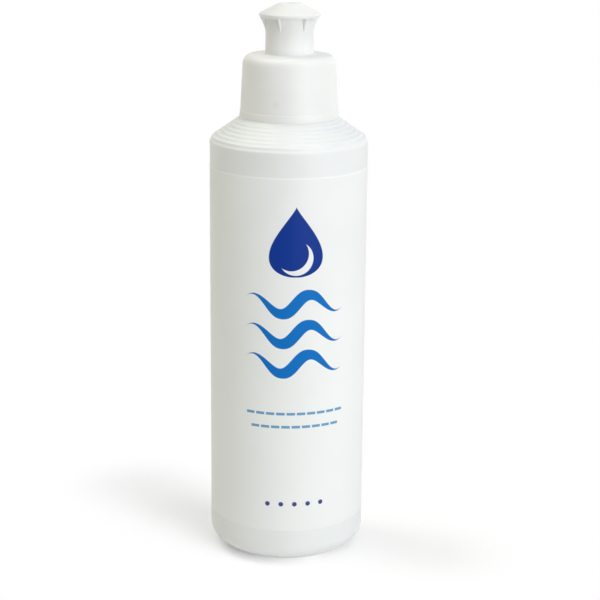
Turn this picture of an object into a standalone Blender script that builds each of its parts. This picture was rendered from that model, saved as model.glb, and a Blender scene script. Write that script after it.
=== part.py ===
"""Squeeze bottle for contact gel, with a wrap label and a push-pull screw cap.

The bottle stands on z = 0 with its axis on +Z. The front of the label faces -Y.
"""

import math

import bmesh
import bpy

MM = 0.001

# Bottle body
BODY_RADIUS = 26.0 * MM
BODY_HEIGHT = 139.4 * MM
WALL = 1.0 * MM
BASE_CORNER = 6.8 * MM
FOOT_WIDTH = 3.5 * MM
PUSH_UP = 2.0 * MM
PUSH_UP_SLOPE = 3.0 * MM

# Ringed shoulder
SHOULDER_CORNER = 3.0 * MM
SHOULDER_ANGLE = math.radians(34.8)
RING_PITCH = 1.79 * MM
RING_DEPTH = 0.4 * MM

# Neck, with room round it for the screw thread
NECK_RADIUS = 12.5 * MM
NECK_WALL = 1.9 * MM
NECK_HEIGHT = 16.2 * MM
NECK_FILLET = 0.8 * MM
LIP_ROUND = 0.4 * MM
THREAD_ROOM = 1.4 * MM

# Wrap label
LABEL_FILM = 0.15 * MM
LABEL_FROM = 13.0 * MM
LABEL_TO = 132.2 * MM
LABEL_SEAM = 6.0 * MM

# Gel
GEL_HEADSPACE = 4.0 * MM

# Sealing washer
WASHER_THICKNESS = 1.0 * MM
WASHER_HOLE = 5.2 * MM

# Screw cap
CAP_WALL = 1.15 * MM
CAP_DRAFT = 0.9 * MM
CAP_BORE_DRAFT = 0.25 * MM
CAP_CORNER = 3.0 * MM
CAP_DECK = 3.0 * MM
CAP_BAND_HEIGHT = 2.5 * MM
CAP_BAND_PROUD = 0.3 * MM
MOAT_DEPTH = 1.1 * MM
MOAT_MARGIN = 0.75 * MM
MOAT_SLOPE = 0.25 * MM

# Valve post on the cap
POST_BORE = 4.6 * MM
POST_WALL = 1.3 * MM
POST_HEIGHT = 13.0 * MM
BEAD_PROUD = 0.45 * MM
BEAD_HEIGHT = 1.2 * MM
PIN_RADIUS = 1.5 * MM
PIN_SUNK = 0.4 * MM
SPIDER_ARMS = 3
SPIDER_ARM_WIDTH = 1.2 * MM
SPIDER_DEPTH = 2.0 * MM

# Pull spout
SPOUT_TRAVEL = 5.5 * MM
SPOUT_WALL = 1.1 * MM
SPOUT_LIP_LENGTH = 4.3 * MM
SPOUT_STEM = 12.75 * MM
HEAD_OVERHANG = 2.2 * MM
HEAD_EDGE = 1.2 * MM
HEAD_DOME = 3.15 * MM
HEAD_TOP_RADIUS = 3.6 * MM
HEAD_CHAMBER = 2.6 * MM
WEB_COUNT = 6
WEB_THICKNESS = 1.1 * MM
WEB_HEIGHT = 5.25 * MM
WEB_TURN = math.radians(7.0)
WEB_SHORT = 0.1 * MM
WEB_HOLLOW = 1.6
WEB_BITE = 0.5 * MM

# Clearances
FIT_GAP = 0.3 * MM

# Facets
SIDES = 48
CORNER_STEPS = 4
SMOOTH_ANGLE = math.radians(35.0)

# Places worked out from the sizes above, all measured from the floor
PANEL_RADIUS = BODY_RADIUS - LABEL_FILM - FIT_GAP
INNER_RADIUS = PANEL_RADIUS - WALL
NECK_BORE = NECK_RADIUS - NECK_WALL
CAP_BORE = NECK_RADIUS + THREAD_ROOM
CAP_TOP_RADIUS = CAP_BORE + CAP_WALL
CAP_SKIRT_RADIUS = CAP_TOP_RADIUS + CAP_DRAFT
LEDGE_RADIUS = CAP_SKIRT_RADIUS + CAP_BAND_PROUD + 2 * FIT_GAP
CONE_RADIUS = BODY_RADIUS - SHOULDER_CORNER * (1 - math.sin(SHOULDER_ANGLE))
CONE_FOOT_Z = BODY_HEIGHT + SHOULDER_CORNER * math.cos(SHOULDER_ANGLE)
CONE_LENGTH = (CONE_RADIUS - LEDGE_RADIUS) / math.cos(SHOULDER_ANGLE)
LEDGE_Z = CONE_FOOT_Z + CONE_LENGTH * math.sin(SHOULDER_ANGLE)
LIP_Z = LEDGE_Z + NECK_HEIGHT
CAP_BOTTOM_Z = LEDGE_Z + FIT_GAP
WASHER_Z = LIP_Z + FIT_GAP

# Heights on the cap, measured from its lower edge
CEILING_H = WASHER_Z + WASHER_THICKNESS + FIT_GAP - CAP_BOTTOM_Z
DECK_H = CEILING_H + CAP_DECK
MOAT_H = DECK_H - MOAT_DEPTH

# Radii of the valve, from the post's bore outwards
POST_RADIUS = POST_BORE + POST_WALL
BEAD_RADIUS = POST_RADIUS + BEAD_PROUD
SPOUT_LIP_RADIUS = POST_RADIUS + FIT_GAP
SPOUT_BORE = BEAD_RADIUS + FIT_GAP
STEM_RADIUS = SPOUT_BORE + SPOUT_WALL
HEAD_RADIUS = STEM_RADIUS + HEAD_OVERHANG
ORIFICE_RADIUS = PIN_RADIUS + FIT_GAP
MOAT_RADIUS = STEM_RADIUS + MOAT_MARGIN

# Heights of the valve: the spout rests in the moat and its lip stops under the bead
SPOUT_REST_H = MOAT_H + FIT_GAP
BEAD_H = SPOUT_REST_H + SPOUT_LIP_LENGTH + SPOUT_TRAVEL + FIT_GAP
POST_TOP_H = MOAT_H + POST_HEIGHT
HEAD_TOP = SPOUT_STEM + HEAD_EDGE + HEAD_DOME
PIN_TOP_H = SPOUT_REST_H + HEAD_TOP - PIN_SUNK


def clear_scene():
    """Remove what the file holds, so that the model starts from nothing."""
    for thing in list(bpy.data.objects):
        bpy.data.objects.remove(thing, do_unlink=True)


def plastic(name, colour, roughness):
    """A Principled material of one colour."""
    material = bpy.data.materials.new(name)
    material.use_nodes = True
    shader = material.node_tree.nodes["Principled BSDF"]
    shader.inputs["Base Color"].default_value = (*colour, 1.0)
    shader.inputs["Roughness"].default_value = roughness
    shader.inputs["Metallic"].default_value = 0.0
    return material


def arc(centre_r, centre_z, radius, start, end, steps=CORNER_STEPS):
    """Points on an arc in the (radius, height) plane; angles in degrees from outwards."""
    points = []
    for step in range(steps + 1):
        angle = math.radians(start + (end - start) * step / steps)
        points.append((centre_r + radius * math.cos(angle), centre_z + radius * math.sin(angle)))
    return points


def object_from(name, mesh_builder, material=None, parent=None, place=0.0):
    """Turn a bmesh into a named object that stands at a height on the axis of its parent."""
    bmesh.ops.remove_doubles(mesh_builder, verts=mesh_builder.verts, dist=0.001 * MM)
    bmesh.ops.recalc_face_normals(mesh_builder, faces=mesh_builder.faces)
    mesh = bpy.data.meshes.new(name)
    mesh_builder.to_mesh(mesh)
    mesh_builder.free()
    mesh.shade_smooth()
    mesh.set_sharp_from_angle(angle=SMOOTH_ANGLE)
    if material:
        mesh.materials.append(material)
    thing = bpy.data.objects.new(name, mesh)
    bpy.context.scene.collection.objects.link(thing)
    thing.parent = parent
    thing.location.z = place
    return thing


def turned(profile, closed):
    """Spin a profile of (radius, height) points round Z; a closed one is the section of a ring."""
    builder = bmesh.new()
    points = [builder.verts.new((radius, 0.0, height)) for radius, height in profile]
    pairs = list(zip(points, points[1:]))
    if closed:
        pairs.append((points[-1], points[0]))
    edges = [builder.edges.new(pair) for pair in pairs]
    bmesh.ops.spin(builder, geom=points + edges, cent=(0, 0, 0), axis=(0, 0, 1), dvec=(0, 0, 0),
                   angle=2 * math.pi, steps=SIDES, use_merge=True)
    return builder


def add_plate(builder, outline, thickness, angle):
    """Add a flat plate that stands on edge along a radius: an outline of (radius, height) points."""
    along = (math.cos(angle), math.sin(angle))
    across = (-math.sin(angle) * thickness, math.cos(angle) * thickness, 0.0)
    corners = []
    for radius, height in outline:
        spot = (radius * along[0] - across[0] / 2, radius * along[1] - across[1] / 2, height)
        corners.append(builder.verts.new(spot))
    face = builder.faces.new(corners)
    swept = bmesh.ops.extrude_face_region(builder, geom=[face])
    moved = [part for part in swept["geom"] if isinstance(part, bmesh.types.BMVert)]
    bmesh.ops.translate(builder, verts=moved, vec=across)


def join(target, tool):
    """Fuse a helper body into its piece with a Boolean union and keep the helper out of sight."""
    tool.hide_render = True
    tool.display_type = "WIRE"
    union = target.modifiers.new(tool.name, "BOOLEAN")
    union.operation = "UNION"
    union.solver = "EXACT"
    union.object = tool


def shoulder_point(run, sunk):
    """Point on the shoulder at a run from the ledge, down the cone and round the corner arc."""
    if run <= CONE_LENGTH:
        radius = LEDGE_RADIUS + run * math.cos(SHOULDER_ANGLE)
        height = LEDGE_Z - run * math.sin(SHOULDER_ANGLE)
        facing = math.pi / 2 - SHOULDER_ANGLE
    else:
        facing = math.pi / 2 - SHOULDER_ANGLE - (run - CONE_LENGTH) / SHOULDER_CORNER
        radius = BODY_RADIUS - SHOULDER_CORNER * (1 - math.cos(facing))
        height = BODY_HEIGHT + SHOULDER_CORNER * math.sin(facing)
    return (radius - sunk * math.cos(facing), height - sunk * math.sin(facing))


def shoulder_outside():
    """Crests and grooves of the moulded rings, then the rest of the corner arc."""
    grooves = math.ceil(CONE_LENGTH / RING_PITCH)
    points = []
    for half in range(2 * grooves + 1):
        points.append(shoulder_point(half * RING_PITCH / 2, RING_DEPTH * (half % 2)))
    ringed = grooves * RING_PITCH
    whole = CONE_LENGTH + SHOULDER_CORNER * (math.pi / 2 - SHOULDER_ANGLE)
    for step in range(1, CORNER_STEPS):
        run = ringed + (whole - ringed) * step / (CORNER_STEPS - 1)
        points.append(shoulder_point(run, 0.0))
    return points


def bottle_inside(gap):
    """Inside of the bottle from the middle of its base to the shoulder, set in by a gap."""
    wall = INNER_RADIUS - gap
    corner = BASE_CORNER - WALL
    floor = WALL + gap
    foot_inner = BODY_RADIUS - BASE_CORNER - FOOT_WIDTH
    points = [(0.0, floor + PUSH_UP), (foot_inner - PUSH_UP_SLOPE, floor + PUSH_UP), (foot_inner, floor)]
    points += arc(wall - corner, floor + corner, corner, -90, 0)
    return points


def bottle_outside():
    """Outside of the bottle from the neck's foot down to the middle of the pushed-up base."""
    foot_outer = BODY_RADIUS - BASE_CORNER
    foot_inner = foot_outer - FOOT_WIDTH
    fillet = arc(NECK_RADIUS + NECK_FILLET, LEDGE_Z + NECK_FILLET, NECK_FILLET, 180, 270)
    panel_top = LABEL_TO + FIT_GAP
    panel_foot = LABEL_FROM - FIT_GAP
    points = fillet + shoulder_outside()
    points += [(BODY_RADIUS, panel_top), (PANEL_RADIUS, panel_top)]
    points += [(PANEL_RADIUS, panel_foot), (BODY_RADIUS, panel_foot)]
    points += arc(foot_outer, BASE_CORNER, BASE_CORNER, 0, -90)
    points += [(foot_inner, 0.0), (foot_inner - PUSH_UP_SLOPE, PUSH_UP), (0.0, PUSH_UP)]
    return points


def make_bottle():
    """Blow-moulded bottle: inside up, over the lip, and down the outside."""
    shell = WALL + RING_DEPTH
    cone_inside = (CONE_RADIUS - shell * math.sin(SHOULDER_ANGLE), CONE_FOOT_Z - shell * math.cos(SHOULDER_ANGLE))
    fall = (cone_inside[0] - NECK_BORE) * math.tan(SHOULDER_ANGLE)
    inside = bottle_inside(0.0)
    inside += [(INNER_RADIUS, BODY_HEIGHT - shell), cone_inside, (NECK_BORE, cone_inside[1] + fall)]
    lip_round = min(LIP_ROUND, NECK_WALL / 3)
    lip = arc(NECK_BORE + lip_round, LIP_Z - lip_round, lip_round, 180, 90, 2)
    lip += arc(NECK_RADIUS - lip_round, LIP_Z - lip_round, lip_round, 90, 0, 2)
    profile = inside + lip + bottle_outside()
    white = plastic("bottle_white", (0.84, 0.85, 0.83), 0.36)
    return object_from("bottle", turned(profile, closed=False), white)


def make_label(bottle):
    """Film label: a sheet bent round the panel, open at the back, then given its thickness."""
    inner = PANEL_RADIUS + FIT_GAP
    half_seam = LABEL_SEAM / (2 * inner)
    start = math.pi / 2 + half_seam
    span = 2 * (math.pi - half_seam)
    builder = bmesh.new()
    foot = builder.verts.new((inner * math.cos(start), inner * math.sin(start), LABEL_FROM))
    top = builder.verts.new((inner * math.cos(start), inner * math.sin(start), LABEL_TO))
    edge = builder.edges.new((foot, top))
    bmesh.ops.spin(builder, geom=[foot, top, edge], cent=(0, 0, 0), axis=(0, 0, 1), dvec=(0, 0, 0),
                   angle=span, steps=SIDES)
    film = plastic("label_white", (0.86, 0.87, 0.87), 0.42)
    label = object_from("wrap_label", builder, film, bottle)
    solid = label.modifiers.new("film", "SOLIDIFY")
    solid.thickness = LABEL_FILM
    solid.offset = 1.0
    return label


def make_gel(bottle):
    """Gel that fills the bottle to just under the shoulder."""
    level = BODY_HEIGHT - GEL_HEADSPACE
    profile = bottle_inside(FIT_GAP) + [(INNER_RADIUS - FIT_GAP, level), (0.0, level)]
    gel = plastic("gel_clear", (0.62, 0.78, 0.86), 0.12)
    return object_from("gel_fill", turned(profile, closed=False), gel, bottle)


def make_washer(bottle):
    """Soft ring that the cap presses on the bottle's lip."""
    outer = CAP_BORE - FIT_GAP
    profile = [
        (WASHER_HOLE, 0.0),
        (outer, 0.0),
        (outer, WASHER_THICKNESS),
        (WASHER_HOLE, WASHER_THICKNESS),
    ]
    foam = plastic("washer_foam", (0.80, 0.81, 0.80), 0.7)
    return object_from("sealing_washer", turned(profile, closed=True), foam, bottle, WASHER_Z)


def cap_section():
    """Section of the cap: skirt, deck with its moat, and the hollow valve post with its bead."""
    band_radius = CAP_SKIRT_RADIUS + CAP_BAND_PROUD
    mouth = CAP_BORE + CAP_BORE_DRAFT
    corner_r = CAP_TOP_RADIUS - CAP_CORNER
    skirt = [(band_radius, 0.0), (band_radius, CAP_BAND_HEIGHT - CAP_BAND_PROUD)]
    skirt.append((CAP_SKIRT_RADIUS, CAP_BAND_HEIGHT))
    skirt += arc(corner_r, DECK_H - CAP_CORNER, CAP_CORNER, 0, 90)
    moat = [(MOAT_RADIUS, DECK_H), (MOAT_RADIUS - MOAT_SLOPE, MOAT_H), (POST_RADIUS, MOAT_H)]
    bead = [
        (POST_RADIUS, BEAD_H),
        (BEAD_RADIUS, BEAD_H),
        (BEAD_RADIUS, BEAD_H + BEAD_HEIGHT - BEAD_PROUD),
        (POST_RADIUS, BEAD_H + BEAD_HEIGHT),
    ]
    post = [(POST_RADIUS, POST_TOP_H), (POST_BORE, POST_TOP_H), (POST_BORE, CEILING_H)]
    return skirt + moat + bead + post + [(CAP_BORE, CEILING_H), (mouth, 0.0)]


def make_spider(cap):
    """Arms and plug pin that stand in the top of the valve post."""
    foot = POST_TOP_H - SPIDER_DEPTH
    pin = [(0.0, foot), (PIN_RADIUS, foot), (PIN_RADIUS, PIN_TOP_H), (0.0, PIN_TOP_H)]
    plug = object_from("plug_pin", turned(pin, closed=False), parent=cap)
    builder = bmesh.new()
    outline = [
        (PIN_RADIUS / 2, foot + FIT_GAP),
        (POST_BORE + POST_WALL / 2, foot + FIT_GAP),
        (POST_BORE + POST_WALL / 2, POST_TOP_H - FIT_GAP),
        (PIN_RADIUS / 2, POST_TOP_H - FIT_GAP),
    ]
    for arm in range(SPIDER_ARMS):
        add_plate(builder, outline, SPIDER_ARM_WIDTH, 2 * math.pi * arm / SPIDER_ARMS)
    arms = object_from("spider_arms", builder, parent=cap)
    join(plug, arms)
    return plug


def make_cap(bottle):
    """Screw cap with its valve post, spider and plug pin in one moulding."""
    white = plastic("cap_white", (0.86, 0.86, 0.85), 0.3)
    cap = object_from("screw_cap", turned(cap_section(), closed=True), white, bottle, CAP_BOTTOM_Z)
    join(cap, make_spider(cap))
    return cap


def spout_section():
    """Section of the spout: stem, domed head, orifice, chamber, bore and the inner lip at its foot."""
    head_foot = SPOUT_STEM
    edge_mid = head_foot + HEAD_EDGE / 2
    half_edge = HEAD_EDGE / 2
    outside = [(SPOUT_LIP_RADIUS, 0.0), (STEM_RADIUS, 0.0), (STEM_RADIUS, head_foot)]
    outside += arc(HEAD_RADIUS - half_edge, edge_mid, half_edge, -90, 63)
    outside += [(HEAD_TOP_RADIUS, HEAD_TOP), (ORIFICE_RADIUS, HEAD_TOP)]
    chamber_foot = head_foot + WEB_BITE
    inside = [(ORIFICE_RADIUS, chamber_foot + HEAD_CHAMBER), (SPOUT_BORE, chamber_foot)]
    inside += [(SPOUT_BORE, SPOUT_LIP_LENGTH), (SPOUT_LIP_RADIUS, SPOUT_LIP_LENGTH)]
    return outside + inside


def web_outline():
    """Hollow-edged gusset: its reach grows as a power of the height above its foot."""
    foot = SPOUT_STEM - WEB_HEIGHT
    reach = HEAD_OVERHANG - WEB_SHORT
    points = [(STEM_RADIUS - WEB_BITE, foot)]
    for step in range(2 * CORNER_STEPS + 1):
        share = step / (2 * CORNER_STEPS)
        points.append((STEM_RADIUS + reach * share ** WEB_HOLLOW, foot + WEB_HEIGHT * share))
    points.append((STEM_RADIUS + reach - HEAD_EDGE / 2, SPOUT_STEM + WEB_BITE))
    points.append((STEM_RADIUS - WEB_BITE, SPOUT_STEM + WEB_BITE))
    return points


def make_spout(cap):
    """Spout that slides on the cap's post, with gusset webs under its head."""
    white = plastic("spout_white", (0.87, 0.87, 0.86), 0.3)
    spout = object_from("pull_spout", turned(spout_section(), closed=True), white, cap, SPOUT_REST_H)
    builder = bmesh.new()
    for web in range(WEB_COUNT):
        add_plate(builder, web_outline(), WEB_THICKNESS, WEB_TURN + 2 * math.pi * web / WEB_COUNT)
    join(spout, object_from("spout_webs", builder, parent=spout))
    return spout


def main():
    clear_scene()
    bottle = make_bottle()
    make_label(bottle)
    make_gel(bottle)
    make_washer(bottle)
    make_spout(make_cap(bottle))


main()
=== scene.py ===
"""Looks of the gel squeeze bottle: fine surfaces, finishes, printed label, light and camera."""

import math

import bmesh
import bpy
import numpy as np
from mathutils import Matrix, Vector


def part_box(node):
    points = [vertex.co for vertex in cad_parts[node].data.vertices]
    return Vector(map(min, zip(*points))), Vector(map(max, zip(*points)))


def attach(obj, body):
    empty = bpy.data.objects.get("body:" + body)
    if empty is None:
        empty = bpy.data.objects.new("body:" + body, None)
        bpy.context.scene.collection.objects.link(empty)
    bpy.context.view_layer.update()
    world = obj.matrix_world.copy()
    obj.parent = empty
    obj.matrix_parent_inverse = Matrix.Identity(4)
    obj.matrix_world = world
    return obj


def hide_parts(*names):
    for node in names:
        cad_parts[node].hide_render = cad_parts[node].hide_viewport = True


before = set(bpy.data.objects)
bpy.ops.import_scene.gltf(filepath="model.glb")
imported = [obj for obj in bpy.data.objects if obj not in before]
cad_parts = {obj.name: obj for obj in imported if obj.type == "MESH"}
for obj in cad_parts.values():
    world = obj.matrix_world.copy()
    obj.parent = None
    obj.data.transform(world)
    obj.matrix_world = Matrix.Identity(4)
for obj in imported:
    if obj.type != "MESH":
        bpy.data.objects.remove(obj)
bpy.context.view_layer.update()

MM = 0.001

# Boxes of the solids that the pieces below stand for
bottle_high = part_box("bottle")[1]
label_low, label_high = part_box("wrap_label")
gel_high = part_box("gel_fill")[1]
washer_low, washer_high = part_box("sealing_washer")
cap_low, cap_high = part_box("screw_cap")
spout_low, spout_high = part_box("pull_spout")

# Facets and fillets
SIDES = 192
SEAM_SPREAD = np.radians([0.12, 0.25, 0.4, 0.6, 0.85])
FILLET_STEPS = 6
BASE_STEPS = 8
ARM_STEPS = 4
THIN_STEPS = 3
FILLET_SHARE = 0.49
NEARLY_STRAIGHT = 0.01
SHORTEST = 1e-12
FINE_FILLET = 0.25 * MM
CREASE_ANGLE = math.radians(40)

# Bottle
BODY_RADIUS = bottle_high.x
LIP_Z = bottle_high.z
WALL = 1.0 * MM
BODY_TOP = 139.4 * MM
CORNER_HEIGHT = 7.0 * MM
CORNER_STEPS = 17
FOOT_RADIUS = 14.8 * MM
FOOT_WIDTH = 1.0 * MM
FOOT_FILLET = 0.5 * MM
INNER_FOOT_FILLET = 1.0 * MM
PUSH_UP = 2.0 * MM
PUSH_UP_SLOPE = 3.0 * MM
PUSH_UP_FILLET = 2.0 * MM
PUSH_UP_RINGS = (0.6, 0.3, 0.15)
SHOULDER_CORNER = 3.0 * MM
SHOULDER_ANGLE = math.radians(34.8)
SHOULDER_EASE = 1.0 * MM
INNER_SHOULDER_FILLET = 3.0 * MM
RING_PITCH = 1.79 * MM
RING_DEPTH = 0.2 * MM
RING_COUNT = 7
SHOULDER_SAMPLES = 120
LEDGE_LAP = 0.02 * MM
LEDGE_RADIUS = cap_high.x + LEDGE_LAP
LEDGE_WALL = 1.4 * MM
NECK_RADIUS = 12.5 * MM
NECK_BORE = 10.6 * MM
NECK_FILLET = 0.8 * MM
INNER_NECK_FILLET = 1.5 * MM
INNER_LIP_FILLET = 0.5 * MM
OUTER_LIP_FILLET = 0.6 * MM
LIP_POINTS = 2
PARTING_HEIGHT = 0.05 * MM
PARTING_WIDTH = 0.16 * MM
PARTING_FOOT = 1.5 * MM
PINCH_HEIGHT = 0.35 * MM
PINCH_WIDTH = 0.45 * MM
PINCH_END = 2.0 * MM

# Screw thread of the neck and of the cap
PITCH = 4.233 * MM
THREAD_TURNS = 1.5
THREAD_HEIGHT = 1.1 * MM
THREAD_ROOT = 1.1 * MM
THREAD_CREST = 0.5 * MM
THREAD_FLANK = 0.8
THREAD_END = 0.3
THREAD_BITE = 0.15 * MM
THREAD_UNDER_LIP = 2.2 * MM
THREAD_LOW = LIP_Z - THREAD_UNDER_LIP - THREAD_TURNS * PITCH
THREAD_DROP = 1.76 * MM
THREAD_FADE = math.radians(30)
CAP_THREAD_START = math.radians(90)
THREAD_STEPS_PER_TURN = 96

# Label
FILM = 0.12 * MM
FILM_EDGE = 0.02 * MM
FILM_PROUD = 0.1 * MM
FILM_RISE = 0.55 * MM
FILM_EASE = 1.2 * FILM_RISE
FILM_GAP = 0.01 * MM
LABEL_EDGE = 0.008 * MM
SEAM_ARC = 6.0 * MM
LABEL_COLUMNS = 180

# Gel and washer
GEL_GAP = 0.3 * MM
MENISCUS_WIDTH = 1.2 * MM
MENISCUS_REACH = 4 * MENISCUS_WIDTH
MENISCUS_DROP = 0.8 * MM
MENISCUS_DEPTH = 1.0 * MM
MENISCUS_FILLETS = (0.2 * MM, 1.5 * MM, 3.0 * MM)
WASHER_HOLE = 5.2 * MM
WASHER_FILLET = 0.2 * MM
DENT_DEPTH = 0.12 * MM
DENT_FILLET = 0.1 * MM

# Cap, heights measured from its lower edge
CAP_BAND_HEIGHT = 2.75 * MM
CAP_BAND_SLOPE = 0.35 * MM
CAP_BAND_PROUD = 0.32 * MM
CAP_BAND_STEP = 0.12 * MM
CAP_BAND_FILLET = 0.3 * MM
CAP_STEP_FILLET = 0.15 * MM
CAP_BAND_RADIUS = cap_high.x
CAP_SKIRT_RADIUS = CAP_BAND_RADIUS - CAP_BAND_PROUD
CAP_TOP_RADIUS = 15.05 * MM
CAP_CORNER = 3.0 * MM
CAP_BORE = 13.9 * MM
CAP_MOUTH = 14.15 * MM
CAP_THREAD_ROOT = CAP_BORE + 0.1 * MM
CAP_SEAT = 0.13 * MM
CAP_EDGE_FILLET = 0.04 * MM
CEILING = washer_high.z + 0.3 * MM - cap_low.z
CEILING_FILLET = 0.5 * MM
DECK = CEILING + 3.0 * MM
MOAT = DECK - 1.1 * MM
MOAT_RADIUS = 7.9 * MM
MOAT_SLOPE = 0.02 * MM
MOAT_FILLET = 0.1 * MM
COLLAR_WIDTH = 0.55 * MM
COLLAR_HEIGHT = 0.35 * MM
COLLAR_EDGE = 0.03 * MM
COLLAR_FILLET = 0.8 * MM
POST_BORE = 4.6 * MM
POST_RADIUS = 5.9 * MM
POST_TOP = MOAT + 13.0 * MM
POST_FILLET = 0.4 * MM
BEAD_RADIUS = 6.35 * MM
BEAD_FOOT = MOAT + 10.4 * MM
BEAD_TOP = BEAD_FOOT + 1.2 * MM
BEAD_FILLET = 0.1 * MM
PIN_RADIUS = 1.5 * MM
PIN_TOP = cap_high.z - cap_low.z
PIN_FOOT_FILLET = 0.4 * MM
PIN_TIP_FILLET = 0.5 * MM
SPIDER_DEPTH = 2.0 * MM
SPIDER_ARMS = 3
SPIDER_ARM_WIDTH = 1.2 * MM
ARM_INSET = 0.3 * MM
ARM_FILLET = 0.3 * MM
ARM_BITE = 0.4 * MM
GATE_MARK = (-4.3 * MM, -15.5 * MM, 153.6 * MM)
GATE_RADIUS = 2.0 * MM

# Spout, heights measured from its lower edge
STEM_RADIUS = 7.75 * MM
STEM_TAPER = 0.1 * MM
SPOUT_BORE = 6.65 * MM
SPOUT_LIP_RADIUS = 6.2 * MM
SPOUT_LIP_LENGTH = 4.3 * MM
SPOUT_LIP_FILLET = 0.1 * MM
SPOUT_BORE_FILLET = 0.15 * MM
STEM_FILLET = 0.4 * MM
STEM_EDGE_FILLET = 0.3 * MM
HEAD_FOOT = 12.75 * MM
HEAD_RADIUS = 9.95 * MM
HEAD_EDGE = 1.0625 * MM
HEAD_EDGE_FILLET = 0.55 * MM
HEAD_DRAFT = 0.25 * MM
HEAD_TOP = spout_high.z - spout_low.z
HEAD_TOP_RADIUS = 3.6 * MM
HEAD_TOP_FILLET = 2.4 * MM
ORIFICE_RADIUS = 1.8 * MM
ORIFICE_FILLET = 0.3 * MM
CHAMBER_FOOT = HEAD_FOOT + 0.5 * MM
CHAMBER_TOP = CHAMBER_FOOT + 2.6 * MM
CHAMBER_FILLET = 0.8 * MM
WEB_COUNT = 6
WEB_TURN = math.radians(7.0)
WEB_HEIGHT = 5.25 * MM
WEB_REACH = 2.05 * MM
WEB_HOLLOW = 1.6
WEB_THICKNESS = 0.95 * MM
WEB_BITE = 0.5 * MM
WEB_LAP = 0.3 * MM
WEB_FOOT_SHARE = 0.65
WEB_STEPS = 25
WEB_EDGE_POINTS = 9
# Painted light: the stem gets paler down to its foot, where the head's shade ends
PAINTED_LIGHT_SPAN = (spout_low.z + 0.75 * HEAD_FOOT, spout_low.z)

# Camera, from a fit to the outline in the photograph
CAMERA_PLACE = (0.0, -546.6 * MM, 233.9 * MM)
CAMERA_DOWN = math.radians(15.177)
CAMERA_YAW = math.radians(0.4305)
CAMERA_ROLL = math.radians(0.503)
CAMERA_LENS = 101.03
SENSOR = 36.0
CLIP_START = 10 * MM


# Outlines in the (radius, height) plane

def rounded(corners, steps=FILLET_STEPS):
    """Outline through corners (radius, height, fillet); each fillet is an arc that meets both sides."""
    points = [np.array(corners[0][:2])]
    for before, here, after in zip(corners, corners[1:], corners[2:]):
        spot = np.array(here[:2])
        back = np.array(before[:2]) - spot
        on = np.array(after[:2]) - spot
        back_length = np.linalg.norm(back)
        on_length = np.linalg.norm(on)
        back = back / back_length
        on = on / on_length
        half = math.acos(np.clip(back @ on, -1.0, 1.0)) / 2
        fillet = here[2]
        if fillet == 0.0 or half > math.pi / 2 - NEARLY_STRAIGHT:
            points.append(spot)
            continue
        reach = min(fillet / math.tan(half), FILLET_SHARE * back_length, FILLET_SHARE * on_length)
        radius = reach * math.tan(half)
        middle = (back + on) / np.linalg.norm(back + on)
        centre = spot + middle * radius / math.sin(half)
        first = spot + back * reach - centre
        last = spot + on * reach - centre
        sweep = math.pi - 2 * half
        share = np.linspace(0.0, 1.0, steps + 1)[:, None]
        arc = (np.sin((1 - share) * sweep) * first + np.sin(share * sweep) * last) / math.sin(sweep)
        points.extend(centre + arc)
    points.append(np.array(corners[-1][:2]))
    return np.array(points)


def ring_outline(corners, steps=FILLET_STEPS):
    """Closed outline: every corner is rounded, and the first point isn't repeated at the end."""
    start = (np.array(corners[0][:2]) + np.array(corners[-1][:2])) / 2
    turn = [(*start, 0.0)] + list(corners) + [(*start, 0.0)]
    return rounded(turn, steps)[:-1]


def lifted(outline, height):
    """The same outline, set higher."""
    return outline + np.array([0.0, height])


# Surfaces

def put_mesh(name, points, faces, crease=CREASE_ANGLE):
    """Mesh object at the origin from points and faces, smooth up to the crease angle."""
    mesh = bpy.data.meshes.new(name)
    mesh.from_pydata(points.tolist(), [], faces)
    mesh.validate()
    mesh.shade_smooth()
    mesh.set_sharp_from_angle(angle=crease)
    thing = bpy.data.objects.new(name, mesh)
    bpy.context.scene.collection.objects.link(thing)
    return thing


def grid_faces(rows, columns, wrap_rows, wrap_columns):
    """Quads of a grid of points numbered row by row, with wrapped edges where asked."""
    row = np.arange(rows if wrap_rows else rows - 1)[:, None]
    column = np.arange(columns if wrap_columns else columns - 1)[None, :]
    next_row = (row + 1) % rows
    next_column = (column + 1) % columns
    quads = np.stack([
        row * columns + column,
        next_row * columns + column,
        next_row * columns + next_column,
        row * columns + next_column,
    ], axis=-1)
    return quads.reshape(-1, 4).tolist()


def angles_round():
    """Even angles round the axis, with close ones beside the two mould seams at +X and -X."""
    even = np.arange(SIDES) * 2 * np.pi / SIDES
    near = np.concatenate([SEAM_SPREAD, -SEAM_SPREAD])
    return np.unique(np.concatenate([even, near % (2 * np.pi), near + np.pi]))


def outline_normals(outline, closed):
    """Unit normals of an outline whose outer side runs downwards, pointing out of the material."""
    if closed:
        along = np.roll(outline, -1, axis=0) - np.roll(outline, 1, axis=0)
    else:
        along = np.gradient(outline, axis=0)
    normal = np.stack([-along[:, 1], along[:, 0]], axis=1)
    return normal / np.maximum(np.linalg.norm(normal, axis=1, keepdims=True), SHORTEST)


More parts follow.
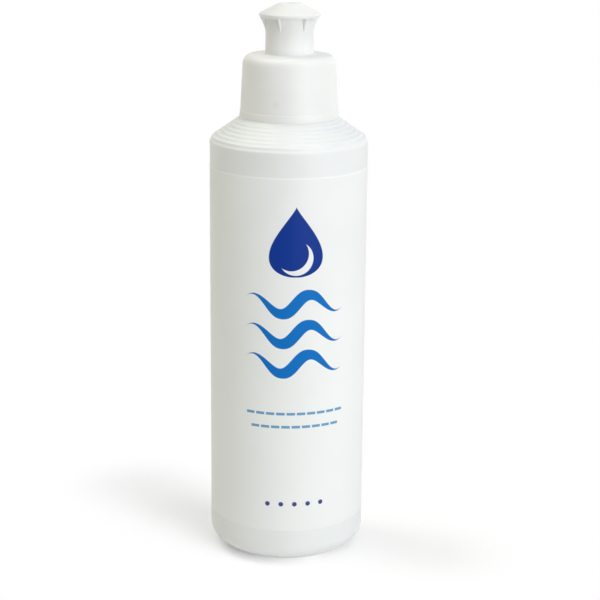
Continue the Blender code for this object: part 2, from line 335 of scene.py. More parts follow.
def turned(name, outline, closed=False, raised=None):
    """Surface of revolution: (r cos a, r sin a, z) for each outline point (r, z) and angle a.

    raised(outline, angles) gives how far each point stands out along the outline's normal.
    An open outline starts and ends on the axis, where a fan of triangles closes it.
    """
    angles = angles_round()
    radius = outline[:, 0][:, None] + np.zeros_like(angles)
    height = outline[:, 1][:, None] + np.zeros_like(angles)
    if raised is not None:
        stand = raised(outline, angles)
        normal = outline_normals(outline, closed)
        radius = radius + stand * normal[:, 0][:, None]
        height = height + stand * normal[:, 1][:, None]
    count = len(angles)
    points = np.stack([radius * np.cos(angles), radius * np.sin(angles), height], axis=-1)
    if closed:
        faces = grid_faces(len(outline), count, True, True)
        return face_outwards(put_mesh(name, points.reshape(-1, 3), faces))
    body = points[1:-1].reshape(-1, 3)
    faces = grid_faces(len(outline) - 2, count, False, True)
    last_row = (len(outline) - 3) * count
    first_pole = len(body)
    here = np.arange(count)
    after = (here + 1) % count
    start_fan = np.stack([np.full(count, first_pole), here, after], axis=1)
    end_fan = np.stack([np.full(count, first_pole + 1), last_row + after, last_row + here], axis=1)
    poles = np.array([[0.0, 0.0, outline[0, 1]], [0.0, 0.0, outline[-1, 1]]])
    faces = faces + start_fan.tolist() + end_fan.tolist()
    return face_outwards(put_mesh(name, np.concatenate([body, poles]), faces))


def carried(name, sections):
    """Closed tube: an array (steps, points, 3) of closed sections along a path, with flat ends."""
    steps, count = sections.shape[:2]
    faces = grid_faces(steps, count, False, True)
    first = list(range(count))
    last = [(steps - 1) * count + spot for spot in range(count)]
    faces = faces + [first, last[::-1]]
    return put_mesh(name, sections.reshape(-1, 3), faces)


def face_outwards(thing):
    """Turn the faces of a closed piece outwards."""
    builder = bmesh.new()
    builder.from_mesh(thing.data)
    bmesh.ops.recalc_face_normals(builder, faces=builder.faces)
    builder.to_mesh(thing.data)
    builder.free()
    return thing


# Bottle

def shoulder_line():
    """Ringed shoulder from the ledge down to the body.

    A run goes down the cone and then round the corner arc. Each ring sinks as a raised cosine
    of the run, and the rings end where the corner turns into the body.
    """
    cone_radius = BODY_RADIUS - SHOULDER_CORNER * (1 - math.sin(SHOULDER_ANGLE))
    cone = (cone_radius - LEDGE_RADIUS) / math.cos(SHOULDER_ANGLE)
    whole = cone + SHOULDER_CORNER * (math.pi / 2 - SHOULDER_ANGLE)
    ledge_z = BODY_TOP + SHOULDER_CORNER * math.cos(SHOULDER_ANGLE)
    ledge_z = ledge_z + cone * math.sin(SHOULDER_ANGLE)
    run = np.linspace(0.0, whole, SHOULDER_SAMPLES)
    turn = np.maximum(run - cone, 0.0) / SHOULDER_CORNER
    facing = math.pi / 2 - SHOULDER_ANGLE - turn
    on_cone = np.minimum(run, cone)
    bend = math.pi / 2 - SHOULDER_ANGLE
    radius = LEDGE_RADIUS + on_cone * math.cos(SHOULDER_ANGLE)
    radius = radius + SHOULDER_CORNER * (np.cos(facing) - math.cos(bend))
    height = ledge_z - on_cone * math.sin(SHOULDER_ANGLE)
    height = height + SHOULDER_CORNER * (np.sin(facing) - math.sin(bend))
    sunk = RING_DEPTH * (0.5 - 0.5 * np.cos(2 * np.pi * run / RING_PITCH))
    sunk = np.where(run < RING_COUNT * RING_PITCH, sunk, 0.0)
    return np.stack([radius - sunk * np.cos(facing), height - sunk * np.sin(facing)], axis=1)


def base_corner(side, floor):
    """Quarter ellipse from the side wall, at a radius, to the standing ring, at a floor's height."""
    turn = np.linspace(0.0, np.pi / 2, CORNER_STEPS)
    radius = FOOT_RADIUS + (side - FOOT_RADIUS) * np.cos(turn)
    height = CORNER_HEIGHT - (CORNER_HEIGHT - floor) * np.sin(turn)
    return [(*spot, 0.0) for spot in zip(radius, height)]


def bottle_outline():
    """Inside from the middle of the base up, over the lip, and down the outside to the base."""
    panel = BODY_RADIUS - FILM
    inner = panel - WALL
    foot_inner = FOOT_RADIUS - FOOT_WIDTH
    push = foot_inner - PUSH_UP_SLOPE
    shoulder = shoulder_line()
    ledge_z = shoulder[0, 1]
    top = [
        (0.0, PUSH_UP + WALL, 0.0),
        (push, PUSH_UP + WALL, PUSH_UP_FILLET),
        (foot_inner, WALL, INNER_FOOT_FILLET),
        *base_corner(inner, WALL)[::-1],
        (inner, BODY_TOP - WALL, INNER_SHOULDER_FILLET),
        (NECK_BORE, ledge_z - LEDGE_WALL, INNER_NECK_FILLET),
        (NECK_BORE, LIP_Z, INNER_LIP_FILLET),
        (NECK_RADIUS, LIP_Z, OUTER_LIP_FILLET),
        (NECK_RADIUS, ledge_z, NECK_FILLET),
        (LEDGE_RADIUS - LEDGE_LAP, ledge_z, 0.0),
    ]
    low = [
        (BODY_RADIUS - FILM_PROUD, BODY_TOP - SHOULDER_EASE, 0.0),
        (BODY_RADIUS - FILM_PROUD, label_high.z + FILM_EASE, 0.0),
        (BODY_RADIUS - FILM_PROUD, label_high.z + FILM_RISE, 0.0),
        (BODY_RADIUS, label_high.z + LABEL_EDGE, 0.0),
        (panel, label_high.z, 0.0),
        (panel, label_low.z, 0.0),
        (BODY_RADIUS, label_low.z - LABEL_EDGE, 0.0),
        *base_corner(BODY_RADIUS, 0.0),
        (foot_inner, 0.0, FOOT_FILLET),
        (push, PUSH_UP, PUSH_UP_FILLET),
        *[(share * push, PUSH_UP, 0.0) for share in PUSH_UP_RINGS],
        (0.0, PUSH_UP, 0.0),
    ]
    return np.concatenate([rounded(top), shoulder, rounded(low, BASE_STEPS)])


def mould_seam(outline, angles):
    """Fine outer ridge where the mould's halves met: a bell curve of the distance to y = 0.

    It leaves the standing ring bare, and under the base it is the taller scar of the pinched tube.
    """
    across = outline[:, 0][:, None] * np.sin(angles)
    outside = np.arange(len(outline)) > np.argmax(outline[:, 1]) + LIP_POINTS
    side = outside & (outline[:, 1] > PARTING_FOOT) & (outline[:, 0] > NECK_RADIUS)
    scar = outside & (outline[:, 1] > PUSH_UP / 2) & (outline[:, 1] < CORNER_HEIGHT)
    scar = scar & (outline[:, 0] < NECK_RADIUS) & (outline[:, 0] > PINCH_END)
    parting = PARTING_HEIGHT * np.exp(-(across / PARTING_WIDTH) ** 2) * side[:, None]
    pinch = PINCH_HEIGHT * np.exp(-(across / PINCH_WIDTH) ** 2) * scar[:, None]
    return parting + pinch


def thread_ridge(name, root, height, low_z, start, turns):
    """Screw ridge: a trapezium carried up a helix, z = low_z + pitch * angle / full turn.

    A negative height makes a ridge that stands inwards. Both ends sink into the wall.
    """
    angle = np.linspace(start, start + turns * 2 * np.pi, int(turns * THREAD_STEPS_PER_TURN) + 1)
    from_end = np.minimum(angle - angle[0], angle[-1] - angle)
    grown = np.sin(np.clip(from_end / THREAD_FADE, 0.0, 1.0) * np.pi / 2)[:, None]
    bite = -math.copysign(THREAD_BITE, height)
    flank = THREAD_FLANK * height
    out = np.array([bite, 0.0, flank, height, height, flank, 0.0, bite])
    shift = (THREAD_ROOT - THREAD_CREST) / 4
    half = [THREAD_ROOT, THREAD_ROOT, THREAD_CREST + shift, THREAD_CREST - shift]
    up = np.array(half + [-part for part in reversed(half)])
    stands_out = out * height > 0
    radius = root + np.where(stands_out, out, 0.0) * grown + np.where(stands_out, 0.0, out)
    spread = up * (THREAD_END + (1 - THREAD_END) * grown)
    height_up = low_z + PITCH * angle[:, None] / (2 * np.pi) + spread
    around = angle[:, None] + np.zeros_like(radius)
    sections = np.stack([radius * np.cos(around), radius * np.sin(around), height_up], axis=-1)
    return face_outwards(carried(name, sections))


# Label, gel and washer

def label_film():
    """Film round the body: a thin rounded rectangle carried round the axis, open at the back."""
    inner = BODY_RADIUS - FILM + FILM_GAP
    corners = [
        (inner, label_low.z, FILM_EDGE),
        (inner, label_high.z, FILM_EDGE),
        (BODY_RADIUS, label_high.z, FILM_EDGE),
        (BODY_RADIUS, label_low.z, FILM_EDGE),
    ]
    outline = ring_outline(corners, THIN_STEPS)
    half_seam = SEAM_ARC / (2 * BODY_RADIUS)
    angle = np.linspace(np.pi / 2 + half_seam, 5 * np.pi / 2 - half_seam, LABEL_COLUMNS)[:, None]
    radius = outline[:, 0]
    height = outline[:, 1] + np.zeros_like(angle)
    sections = np.stack([radius * np.cos(angle), radius * np.sin(angle), height], axis=-1)
    return face_outwards(carried("label_film", sections))


def gel_outline():
    """Gel from the middle of the base up the wall to a shallow meniscus."""
    wall = gel_high.x
    foot_inner = FOOT_RADIUS - FOOT_WIDTH
    floor = WALL + GEL_GAP
    rim, bend, middle = MENISCUS_FILLETS
    return rounded([
        (0.0, floor + PUSH_UP, 0.0),
        (foot_inner - PUSH_UP_SLOPE, floor + PUSH_UP, PUSH_UP_FILLET),
        (foot_inner, floor, INNER_FOOT_FILLET),
        *base_corner(wall, floor)[::-1],
        (wall, gel_high.z, rim),
        (wall - MENISCUS_WIDTH, gel_high.z - MENISCUS_DROP, bend),
        (wall - MENISCUS_REACH, gel_high.z - MENISCUS_DEPTH, middle),
        (0.0, gel_high.z - MENISCUS_DEPTH, 0.0),
    ])


def washer_outline():
    """Section of the sealing ring, with a shallow groove pressed in by the bottle's lip."""
    outer = washer_high.x
    low = washer_low.z
    high = washer_high.z
    return ring_outline([
        (WASHER_HOLE, low, WASHER_FILLET),
        (WASHER_HOLE, high, WASHER_FILLET),
        (outer, high, WASHER_FILLET),
        (outer, low, WASHER_FILLET),
        (NECK_RADIUS, low, DENT_FILLET),
        (NECK_RADIUS - DENT_DEPTH, low + DENT_DEPTH, DENT_FILLET),
        (NECK_BORE + DENT_DEPTH, low + DENT_DEPTH, DENT_FILLET),
        (NECK_BORE, low, DENT_FILLET),
    ], THIN_STEPS)


# Closure

def cap_outline():
    """Section of the cap: inside, valve post, slot round the stem, deck, corner, skirt and band."""
    return lifted(ring_outline([
        (CAP_BAND_RADIUS, CAP_SEAT, CAP_EDGE_FILLET),
        (CAP_MOUTH, CAP_SEAT, FINE_FILLET),
        (CAP_BORE, CEILING, CEILING_FILLET),
        (POST_BORE, CEILING, POST_FILLET),
        (POST_BORE, POST_TOP, FINE_FILLET),
        (POST_RADIUS, POST_TOP, POST_FILLET),
        (POST_RADIUS, BEAD_TOP, FINE_FILLET),
        (BEAD_RADIUS, (BEAD_FOOT + BEAD_TOP) / 2, FINE_FILLET),
        (BEAD_RADIUS, BEAD_FOOT, BEAD_FILLET),
        (POST_RADIUS, BEAD_FOOT, BEAD_FILLET),
        (POST_RADIUS, MOAT, FINE_FILLET),
        (MOAT_RADIUS - MOAT_SLOPE, MOAT, MOAT_FILLET),
        (MOAT_RADIUS, DECK + COLLAR_HEIGHT, COLLAR_EDGE),
        (MOAT_RADIUS + COLLAR_WIDTH, DECK, COLLAR_FILLET),
        (CAP_TOP_RADIUS, DECK, CAP_CORNER),
        (CAP_SKIRT_RADIUS, CAP_BAND_HEIGHT, CAP_STEP_FILLET),
        (CAP_SKIRT_RADIUS + CAP_BAND_STEP, CAP_BAND_HEIGHT - CAP_BAND_SLOPE, CAP_BAND_FILLET),
    ]), cap_low.z)


def pin_outline():
    """Plug pin from the middle of its foot to its rounded tip."""
    foot = POST_TOP - SPIDER_DEPTH
    return lifted(rounded([
        (0.0, foot, 0.0),
        (PIN_RADIUS, foot, PIN_FOOT_FILLET),
        (PIN_RADIUS, PIN_TOP, PIN_TIP_FILLET),
        (0.0, PIN_TOP, 0.0),
    ]), cap_low.z)


def spider_arm(turn):
    """Arm from the pin to the post: a rounded slab carried along a radius."""
    low = cap_low.z + POST_TOP - SPIDER_DEPTH + ARM_INSET
    high = cap_low.z + POST_TOP - ARM_INSET
    half = SPIDER_ARM_WIDTH / 2
    corners = [(-half, low), (half, low), (half, high), (-half, high)]
    section = ring_outline([(*corner, ARM_FILLET) for corner in corners], ARM_STEPS)
    reach = np.array([PIN_RADIUS / 2, POST_BORE + ARM_BITE])[:, None]
    across = section[:, 0] + np.zeros_like(reach)
    x = reach * math.cos(turn) - across * math.sin(turn)
    y = reach * math.sin(turn) + across * math.cos(turn)
    z = section[:, 1] + np.zeros_like(reach)
    sections = np.stack([x, y, z], axis=-1)
    return face_outwards(carried(f"spider_arm_{round(math.degrees(turn))}", sections))


def spout_outline():
    """Section of the spout: bore, chamber, orifice, head with a coned top and a round rim, stem."""
    return lifted(ring_outline([
        (SPOUT_LIP_RADIUS, 0.0, FINE_FILLET),
        (SPOUT_LIP_RADIUS, SPOUT_LIP_LENGTH, SPOUT_LIP_FILLET),
        (SPOUT_BORE, SPOUT_LIP_LENGTH, SPOUT_BORE_FILLET),
        (SPOUT_BORE, CHAMBER_FOOT, CHAMBER_FILLET),
        (ORIFICE_RADIUS, CHAMBER_TOP, ORIFICE_FILLET),
        (ORIFICE_RADIUS, HEAD_TOP, ORIFICE_FILLET),
        (HEAD_TOP_RADIUS, HEAD_TOP, HEAD_TOP_FILLET),
        (HEAD_RADIUS, HEAD_FOOT + HEAD_EDGE, HEAD_EDGE_FILLET),
        (HEAD_RADIUS - HEAD_DRAFT, HEAD_FOOT, STEM_FILLET),
        (STEM_RADIUS, HEAD_FOOT, STEM_FILLET),
        (STEM_RADIUS + STEM_TAPER, 0.0, STEM_EDGE_FILLET),
    ]), spout_low.z)


def spout_web(turn):
    """Gusset under the head: a round-edged section whose reach grows as a power of its height."""
    share = np.linspace(0.0, 1.0, WEB_STEPS)[:, None]
    reach = STEM_RADIUS + WEB_REACH * share ** WEB_HOLLOW
    half = WEB_THICKNESS / 2 * (WEB_FOOT_SHARE + (1 - WEB_FOOT_SHARE) * share)
    edge = np.linspace(-np.pi / 2, np.pi / 2, WEB_EDGE_POINTS)
    along = reach - half + half * np.cos(edge)
    across = half * np.sin(edge)
    inner = np.full_like(reach, STEM_RADIUS - WEB_BITE)
    along = np.concatenate([inner, along, inner], axis=1)
    across = np.concatenate([-half, across, half], axis=1)
    low = spout_low.z + HEAD_FOOT - WEB_HEIGHT
    z = low + (WEB_HEIGHT + WEB_LAP) * share + np.zeros_like(along)
    x = along * math.cos(turn) - across * math.sin(turn)
    y = along * math.sin(turn) + across * math.cos(turn)
    sections = np.stack([x, y, z], axis=-1)
    return face_outwards(carried(f"spout_web_{round(math.degrees(turn))}", sections))


# Materials

class Shade:
    """A shader socket. Arithmetic on it adds Math nodes, and node() adds any other node."""

    def __init__(self, tree, socket=None):
        self.tree = tree
        self.socket = socket

    def node(self, kind, settings=None, inputs=None, output=0):
        """Add a node: its settings first, then numbers, colours or links on its sockets."""
        made = self.tree.nodes.new(kind)
        for key, value in (settings or {}).items():
            setattr(made, key, value)
        for key, value in (inputs or {}).items():
            if isinstance(value, Shade):
                self.tree.links.new(value.socket, made.inputs[key])
            else:
                made.inputs[key].default_value = value
        return Shade(self.tree, made.outputs[output])

    def math(self, operation, *values):
        """One Math node on values and numbers."""
        return self.node("ShaderNodeMath", {"operation": operation}, dict(enumerate(values)))

    def __add__(self, other):
        return self.math("ADD", self, other)

    def __sub__(self, other):
        return self.math("SUBTRACT", self, other)

    def __rsub__(self, other):
        return self.math("SUBTRACT", other, self)

    def __mul__(self, other):
        return self.math("MULTIPLY", self, other)

    def __truediv__(self, other):
        return self.math("DIVIDE", self, other)

    def __pow__(self, other):
        return self.math("POWER", self, other)

    __radd__ = __add__
    __rmul__ = __mul__

    def step(self, low, high):
        """Smooth step from 0 at low to 1 at high; with low above high it falls instead."""
        inputs = {"Value": self, "From Min": low, "From Max": high}
        return self.node("ShaderNodeMapRange", {"interpolation_type": "SMOOTHSTEP"}, inputs)

    def mix(self, first, second):
        """Colour between two colours, with this value as the factor."""
        return self.node("ShaderNodeMix", {"data_type": "RGBA"}, {0: self, 6: first, 7: second}, 2)


def colour(red, green, blue):
    """Opaque colour from linear values."""
    return (red, green, blue, 1.0)


def noise(shade, place, scale, detail=2.0):
    """Smooth noise of a place, around 0.5."""
    inputs = {"Vector": place, "Scale": scale, "Detail": detail}
    return shade.node("ShaderNodeTexNoise", None, inputs)


def object_place(shade):
    """Object coordinates."""
    return shade.node("ShaderNodeTexCoord", output=3)


def new_finish(name):
    """Material with a Principled shader, and the wrapper that builds its nodes."""
    material = bpy.data.materials.new(name)
    material.use_nodes = True
    shader = material.node_tree.nodes["Principled BSDF"]
    return material, shader, Shade(material.node_tree)


def feed(shader, shade, socket):
    """Link a value to a socket of the Principled shader."""
    shade.tree.links.new(shade.socket, shader.inputs[socket])


# Finishes of the moulded pieces, the gel and the foam
BOTTLE_WHITE = (0.786, 0.799, 0.796)
CAP_WHITE = (0.82, 0.82, 0.808)
SPOUT_WHITE = (0.795, 0.798, 0.79)
# Painted light: the paler white of the spout's stem near its foot
PAINTED_LIGHT_WHITE = colour(0.9, 0.902, 0.895)
GEL_DARK = colour(0.50, 0.70, 0.82)
GEL_LIGHT = colour(0.60, 0.78, 0.86)
FOAM_DARK = colour(0.70, 0.71, 0.70)
FOAM_LIGHT = colour(0.82, 0.83, 0.82)
CLOUD_EDGES = (0.3, 0.7)
CLOUD_TONE = 0.965
GATE_TONE = 0.91
GLOSS_SPREAD = 0.12
SKIN_DEPTH = 0.05 * MM
PIT_DEPTH = 0.1 * MM


def toned(tint, tone):
    """A tint times a tone, as a colour."""
    return colour(*[part * tone for part in tint])


def moulded_white(name, tint, roughness, peel, speck_scale, mark=None, paler=None):
    """White moulded plastic: faint cloudy tint, uneven gloss, a fine skin texture.

    It may have a gate mark at a place, and painted light: paler down from one height to another.
    """
    material, shader, shade = new_finish(name)
    place = object_place(shade)
    cloud = noise(shade, place, scale=55.0)
    paint = cloud.step(*CLOUD_EDGES).mix(toned(tint, CLOUD_TONE), colour(*tint))
    if mark is not None:
        away = shade.node("ShaderNodeVectorMath", {"operation": "DISTANCE"}, {0: place, 1: mark}, 1)
        paint = away.step(GATE_RADIUS, 0.0).mix(paint, toned(tint, GATE_TONE))
    # Painted light: paler down towards the stem's foot, where the head's shade ends
    if paler is not None:
        height = shade.node("ShaderNodeSeparateXYZ", None, {0: place}, 2)
        paint = height.step(*paler).mix(paint, PAINTED_LIGHT_WHITE)
    feed(shader, paint, "Base Color")
    gloss = noise(shade, place, scale=160.0, detail=3.0)
    feed(shader, roughness + GLOSS_SPREAD * (gloss - 0.5), "Roughness")
    skin = noise(shade, place, speck_scale, detail=4.0)
    inputs = {"Strength": peel, "Distance": SKIN_DEPTH, "Height": skin}
    feed(shader, shade.node("ShaderNodeBump", None, inputs), "Normal")
    shader.inputs["IOR"].default_value = 1.5
    shader.inputs["Subsurface Weight"].default_value = 0.08
    shader.inputs["Subsurface Radius"].default_value = (1.0, 0.95, 0.85)
    shader.inputs["Subsurface Scale"].default_value = 2.0 * MM
    return material


# Print on the label, in mm: a drop with a crescent, three waves, two dashed rules, a row of dots
PRINT_TURN = math.radians(5.8)
DEEP_BLUE = colour(0.003, 0.033, 0.255)
MID_BLUE = colour(0.002, 0.153, 0.510)
LIGHT_BLUE = colour(0.140, 0.330, 0.520)
INDIGO = colour(0.050, 0.070, 0.230)
INK_EDGE = 0.09
# Painted highlight along the film's top edge: its width in mm and its colour
EDGE_HIGHLIGHT_WIDTH = 0.5
EDGE_HIGHLIGHT_WHITE = colour(0.855, 0.865, 0.855)
FILM_DARK = colour(0.782, 0.794, 0.787)
FILM_LIGHT = colour(0.809, 0.821, 0.812)
FILM_LOW = colour(0.852, 0.868, 0.862)
LOW_SHARE = 0.62
FILM_ROUGHNESS = 0.42
FILM_SPREAD = 0.1
INK_GLOSS = 0.06
DROP_CENTRE = 111.5
DROP_HALF = 11.5
DROP_WIDTH = 12.6
DROP_TAPER = 0.75
SHINE_CENTRE = (0.0, 106.2)
SHINE_SHIFT = (-1.5, 1.5)
SHINE_RADIUS = 5.6
WAVES = (91.0, 81.0, 71.0)
WAVE_HEIGHT = 3.1
WAVE_LENGTH = 19.0
WAVE_WIDTH = 2.1
WAVE_REACH = 19.0
RULES = (54.0, 49.5)
RULE_WIDTH = 0.45
DASH_LENGTH = 3.4
RULE_REACH = 5 * DASH_LENGTH
DASH_GAP = (0.16, 0.19)
BEATS_AHEAD = 40.0
DOTS_Z = 22.5
DOT_SPACING = 4.5
DOT_RADIUS = 0.8
DOT_REACH = 11.0


def band(value, half):
    """1 where a value is within half of zero, with a soft ink edge."""
    return value.math("ABSOLUTE", value).step(half + INK_EDGE, half - INK_EDGE)


def round_spot(across, up, radius):
    """1 inside a circle of a radius, with a soft ink edge."""
    distance = (across * across + up * up) ** 0.5
    return distance.step(radius + INK_EDGE, radius - INK_EDGE)


def drop_print(across, height):
    """Drop of half width W * sqrt(1 - v^2) * ((1 - v) / 2)^taper at height v, without its crescent."""
    level = (height - DROP_CENTRE) / DROP_HALF
    level = level.math("MINIMUM", level, 1.0)
    level = level.math("MAXIMUM", level, -1.0)
    half = DROP_WIDTH * (1 - level * level) ** 0.5 * ((1 - level) * 0.5) ** DROP_TAPER
    inside = (half - across.math("ABSOLUTE", across)).step(-INK_EDGE, INK_EDGE)
    shine_across = across - SHINE_CENTRE[0]
    shine_up = height - SHINE_CENTRE[1]
    shine = round_spot(shine_across, shine_up, SHINE_RADIUS)
    shade_across = shine_across - SHINE_SHIFT[0]
    shade_up = shine_up - SHINE_SHIFT[1]
    shine = shine * (1 - round_spot(shade_across, shade_up, SHINE_RADIUS))
    return inside * band(height - DROP_CENTRE, DROP_HALF) * (1 - shine)


def wave_print(across, height):
    """Three sine waves whose width falls to nothing at both ends as a squared cosine."""
    phase = across * (2 * math.pi / WAVE_LENGTH)
    swing = WAVE_HEIGHT * phase.math("SINE", phase)
    slope = (WAVE_HEIGHT * 2 * math.pi / WAVE_LENGTH) * phase.math("COSINE", phase)
    steep = (slope * slope + 1.0) ** 0.5
    taper = across * (math.pi / 2 / WAVE_REACH)
    taper = taper.math("COSINE", taper)
    width = WAVE_WIDTH * taper * taper * band(across, WAVE_REACH)
    waves = 0.0
    for level in WAVES:
        away = (height - level - swing) / steep
        waves = waves + (width - away.math("ABSOLUTE", away)).step(0.0, 2 * INK_EDGE)
    return waves


def rule_print(across, height):
    """Two dashed rules, the lower one shorter. Each beat starts with a gap.

    Beats are counted from far to the left, so that none is below zero.
    """
    rules = 0.0
    for index, level in enumerate(RULES):
        shift = DASH_LENGTH / 2 * index
        beat = (across + shift) / DASH_LENGTH
        dash = beat.math("FRACT", beat + BEATS_AHEAD).step(*DASH_GAP)
        rules = rules + band(height - level, RULE_WIDTH) * band(across, RULE_REACH - shift) * dash
    return rules


def dot_print(across, height):
    """Row of small dots."""
    beside = across.math("PINGPONG", across, DOT_SPACING / 2)
    return round_spot(beside, height - DOTS_Z, DOT_RADIUS) * band(across, DOT_REACH)


def printed_film():
    """White film label: faint mottling, blue print that lies a little glossier, and a soft ripple.

    The film gets slightly paler towards its lower edge; a painted highlight runs along its top.
    """
    material, shader, shade = new_finish("label_film")
    place = object_place(shade)
    x, y, z = [shade.node("ShaderNodeSeparateXYZ", None, {0: place}, part) for part in range(3)]
    turn = x.math("ARCTAN2", x, 0.0 - y) - PRINT_TURN
    across = turn * (BODY_RADIUS / MM)
    height = z * (1 / MM)
    cloud = noise(shade, place, scale=40.0)
    paint = cloud.step(*CLOUD_EDGES).mix(FILM_DARK, FILM_LIGHT)
    down = height.step(label_high.z / MM, label_low.z / MM)
    paint = (down * LOW_SHARE).mix(paint, FILM_LOW)
    # Painted highlight: a paler strip along the film's top edge, where it catches light from above
    bare = band(height - (label_high.z / MM - EDGE_HIGHLIGHT_WIDTH / 2), EDGE_HIGHLIGHT_WIDTH / 2)
    paint = bare.mix(paint, EDGE_HIGHLIGHT_WHITE)
    ink = 0.0
    prints = [
        (drop_print(across, height), DEEP_BLUE),
        (wave_print(across, height), MID_BLUE),
        (rule_print(across, height), LIGHT_BLUE),
        (dot_print(across, height), INDIGO),
    ]
    for mask, ink_colour in prints:
        paint = mask.mix(paint, ink_colour)
        ink = ink + mask
    feed(shader, paint, "Base Color")
    gloss = noise(shade, place, scale=220.0, detail=3.0)
    feed(shader, FILM_ROUGHNESS + FILM_SPREAD * (gloss - 0.5) - INK_GLOSS * ink, "Roughness")
    ripple = noise(shade, place, scale=420.0, detail=3.0)
    inputs = {"Strength": 0.05, "Distance": SKIN_DEPTH, "Height": ripple}
    feed(shader, shade.node("ShaderNodeBump", None, inputs), "Normal")
    shader.inputs["Specular IOR Level"].default_value = 0.1
    return material


def clear_gel():
    """Pale blue gel with a wet surface."""
    material, shader, shade = new_finish("gel")
    cloud = noise(shade, object_place(shade), scale=90.0)
    feed(shader, cloud.step(*CLOUD_EDGES).mix(GEL_DARK, GEL_LIGHT), "Base Color")
    shader.inputs["Roughness"].default_value = 0.08
    shader.inputs["IOR"].default_value = 1.34
    shader.inputs["Transmission Weight"].default_value = 0.5
    return material


def foam():
    """Closed-cell foam with small pits."""
    material, shader, shade = new_finish("washer_foam")
    place = object_place(shade)
    cells = shade.node("ShaderNodeTexVoronoi", None, {"Vector": place, "Scale": 2600.0})
    feed(shader, cells.step(0.0, 0.5).mix(FOAM_DARK, FOAM_LIGHT), "Base Color")
    shader.inputs["Roughness"].default_value = 0.75
    inputs = {"Strength": 0.3, "Distance": PIT_DEPTH, "Height": cells}
    feed(shader, shade.node("ShaderNodeBump", None, inputs), "Normal")
    return material


# Assembly

def dress(thing, material, body, slot, *nodes):
    """Give a piece its finish and its body, and hide the solids that it stands for. The slot is not
    used.
    """
    thing.data.materials.append(material)
    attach(thing, body)
    if nodes:
        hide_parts(*nodes)


def build_bottle():
    """Bottle with its neck thread, the label and the gel."""
    white = moulded_white("bottle_white", BOTTLE_WHITE, roughness=0.44, peel=0.12, speck_scale=900.0)
    shell = turned("bottle_shell", bottle_outline(), raised=mould_seam)
    dress(shell, white, "bottle", "bottle_white", "bottle")
    ridge = thread_ridge("neck_thread", NECK_RADIUS, THREAD_HEIGHT, THREAD_LOW, 0.0, THREAD_TURNS)
    dress(ridge, white, "bottle", "bottle_white")
    dress(label_film(), printed_film(), "bottle", "label_film", "wrap_label")
    dress(turned("gel", gel_outline()), clear_gel(), "bottle", "gel", "gel_fill")


def build_closure():
    """Washer, cap with its thread, plug pin and spider, and spout with its webs."""
    washer = turned("washer", washer_outline(), closed=True)
    dress(washer, foam(), "seal", "washer_foam", "sealing_washer")
    white = moulded_white("cap_white", CAP_WHITE, roughness=0.42, peel=0.06, speck_scale=1400.0,
                          mark=GATE_MARK)
    dress(turned("cap_shell", cap_outline(), closed=True), white, "cap", "cap_white", "screw_cap")
    start = CAP_THREAD_START
    turns = THREAD_TURNS - start / (2 * math.pi)
    low_z = THREAD_LOW - THREAD_DROP
    ridge = thread_ridge("cap_thread", CAP_THREAD_ROOT, -THREAD_HEIGHT, low_z, start, turns)
    dress(ridge, white, "cap", "cap_white")
    dress(turned("plug_pin", pin_outline()), white, "cap", "cap_white")
    for arm in range(SPIDER_ARMS):
        dress(spider_arm(2 * math.pi * arm / SPIDER_ARMS), white, "cap", "cap_white")
    # The spout's white gets painted light: paler towards the foot of the stem
    pale = moulded_white("spout_white", SPOUT_WHITE, roughness=0.38, peel=0.05, speck_scale=1400.0,
                         paler=PAINTED_LIGHT_SPAN)
    spout = turned("spout_shell", spout_outline(), closed=True)
    dress(spout, pale, "spout", "spout_white", "pull_spout")
    for web in range(WEB_COUNT):
        dress(spout_web(WEB_TURN + 2 * math.pi * web / WEB_COUNT), pale, "spout", "spout_white")


# Stage, light and camera

FLOOR_HALF = 4.0
FLOOR_LEFT = colour(0.917, 0.915, 0.985)
FLOOR_RIGHT = colour(0.927, 0.914, 0.908)
FLOOR_BLEND = 30 * MM
FLOOR_GLOW = 0.148
LEFT_SHADOW = ((-13 * MM, -4 * MM), (-56 * MM, 48 * MM))
RIGHT_SHADOW = ((32 * MM, -4 * MM), (50 * MM, -11 * MM))
SHADOW_NEAR = 2 * MM
SHADOW_FAR = 34 * MM
WORLD_LEVEL = 0.17
WORLD_TINT = (1.0, 0.95, 0.78)
LAMP_AIM = Vector((0.0, 0.0, 90 * MM))
LAMP_DISTANCE = 2.0
COOL = (0.92, 0.955, 1.0)
PLAIN = (1.0, 1.0, 1.0)
WARM = (1.0, 0.995, 0.845)


def seen_ray(shade):
    """1 for rays from the camera, in reflections and through clear things, and 0 for the rest."""
    names = ("Is Camera Ray", "Is Glossy Ray", "Is Transmission Ray")
    camera, glossy, through = [shade.node("ShaderNodeLightPath", output=name) for name in names]
    seen = camera.math("MAXIMUM", camera, glossy)
    return seen.math("MAXIMUM", seen, through)


def beside_line(x, y, start, end):
    """Distance on the floor from the line between two points."""
    run_x = end[0] - start[0]
    run_y = end[1] - start[1]
    from_x = x - start[0]
    from_y = y - start[1]
    share = (from_x * run_x + from_y * run_y) / (run_x ** 2 + run_y ** 2)
    share = share.math("MINIMUM", share.math("MAXIMUM", share, 0.0), 1.0)
    aside = from_x - share * run_x
    onward = from_y - share * run_y
    return (aside * aside + onward * onward) ** 0.5


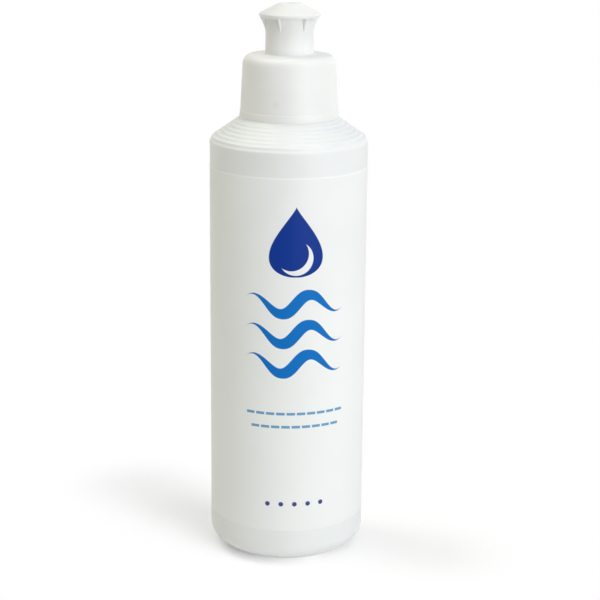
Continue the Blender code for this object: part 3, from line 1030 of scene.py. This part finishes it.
def white_floor():
    """Pale floor that keeps the shadows beside the bottle and turns plain white away from them.

    The tint that the camera sees evens out the colours of the lamps, so that both shadows are grey.
    """
    half = FLOOR_HALF
    corners = [[-half, -half, 0.0], [half, -half, 0.0], [half, half, 0.0], [-half, half, 0.0]]
    floor = put_mesh("floor", np.array(corners), [[0, 1, 2, 3]])
    material = bpy.data.materials.new("floor_white")
    material.use_nodes = True
    tree = material.node_tree
    tree.nodes.clear()
    shade = Shade(tree)
    seen = seen_ray(shade)
    place = object_place(shade)
    x, y = [shade.node("ShaderNodeSeparateXYZ", None, {0: place}, part) for part in range(2)]
    left = beside_line(x, y, *LEFT_SHADOW)
    right = beside_line(x, y, *RIGHT_SHADOW)
    far = left.math("MINIMUM", left, right).step(SHADOW_NEAR, SHADOW_FAR)
    tint = (seen * x.step(FLOOR_BLEND, -FLOOR_BLEND)).mix(FLOOR_RIGHT, FLOOR_LEFT)
    plain = shade.node("ShaderNodeBsdfDiffuse", None, {"Color": tint})
    near_glow = shade.node("ShaderNodeEmission", None, {"Strength": seen * FLOOR_GLOW})
    near = shade.node("ShaderNodeAddShader", None, {0: plain, 1: near_glow})
    far_glow = shade.node("ShaderNodeEmission", None, {"Strength": seen})
    whole = shade.node("ShaderNodeMixShader", None, {0: far * seen, 1: near, 2: far_glow})
    output = tree.nodes.new("ShaderNodeOutputMaterial")
    tree.links.new(whole.socket, output.inputs["Surface"])
    floor.data.materials.append(material)


def soft_world():
    """Even grey light all round, seen as white by the camera and in reflections."""
    world = bpy.data.worlds.new("studio")
    bpy.context.scene.world = world
    world.use_nodes = True
    tree = world.node_tree
    shade = Shade(tree)
    back = tree.nodes["Background"]
    seen = seen_ray(shade)
    strength = WORLD_LEVEL + (1 - WORLD_LEVEL) * seen
    tree.links.new(strength.socket, back.inputs["Strength"])
    tint = seen.mix(colour(*WORLD_TINT), colour(*PLAIN))
    tree.links.new(tint.socket, back.inputs["Color"])


def soft_box(name, bearing, rise, size, power, tint):
    """Square area lamp at a bearing, in degrees from +X towards +Y, and a rise above the level.

    Size and power are those that look the same from a distance of one metre.
    """
    across = math.radians(bearing)
    up = math.radians(rise)
    away = Vector((math.cos(up) * math.cos(across), math.cos(up) * math.sin(across), math.sin(up)))
    lamp = bpy.data.lights.new(name, "AREA")
    lamp.shape = "SQUARE"
    lamp.size = size * LAMP_DISTANCE
    lamp.energy = power * LAMP_DISTANCE ** 2
    lamp.color = tint
    thing = bpy.data.objects.new(name, lamp)
    thing.location = LAMP_AIM + LAMP_DISTANCE * away
    thing.rotation_euler = (-away).to_track_quat("-Z", "Y").to_euler()
    bpy.context.scene.collection.objects.link(thing)


def light_studio():
    """Key and low fill from the right front, and softer lamps from above, the left and the back."""
    soft_box("key", 332, 48, 0.8, 4.25, COOL)
    soft_box("low_front", 302, 8, 0.8, 6.3, COOL)
    soft_box("top", 0, 89, 0.8, 2.42, COOL)
    soft_box("left", 180, 50, 0.8, 1.6, WARM)
    soft_box("left_back", 158, 58, 0.5, 2.35, WARM)
    soft_box("right_back", 50, 14, 0.8, 0.85, PLAIN)


def place_camera():
    """Camera at the photograph's angle: yaw, then down, then roll about its own line of sight."""
    camera = bpy.data.cameras.new("camera")
    camera.lens = CAMERA_LENS
    camera.sensor_width = SENSOR
    camera.sensor_fit = "HORIZONTAL"
    camera.clip_start = CLIP_START
    ahead = Vector((
        math.sin(CAMERA_YAW) * math.cos(CAMERA_DOWN),
        math.cos(CAMERA_YAW) * math.cos(CAMERA_DOWN),
        -math.sin(CAMERA_DOWN),
    ))
    level = Vector((math.cos(CAMERA_YAW), -math.sin(CAMERA_YAW), 0.0))
    upright = level.cross(ahead)
    right = level * math.cos(CAMERA_ROLL) + upright * math.sin(CAMERA_ROLL)
    up = right.cross(ahead)
    turn = Matrix((right, up, -ahead)).transposed().to_4x4()
    thing = bpy.data.objects.new("camera", camera)
    thing.matrix_world = Matrix.Translation(CAMERA_PLACE) @ turn
    bpy.context.scene.collection.objects.link(thing)
    bpy.context.scene.camera = thing


bpy.context.scene.view_settings.view_transform = "Standard"
build_bottle()
build_closure()
white_floor()
soft_world()
light_studio()
place_camera()

bpy.context.view_layer.update()
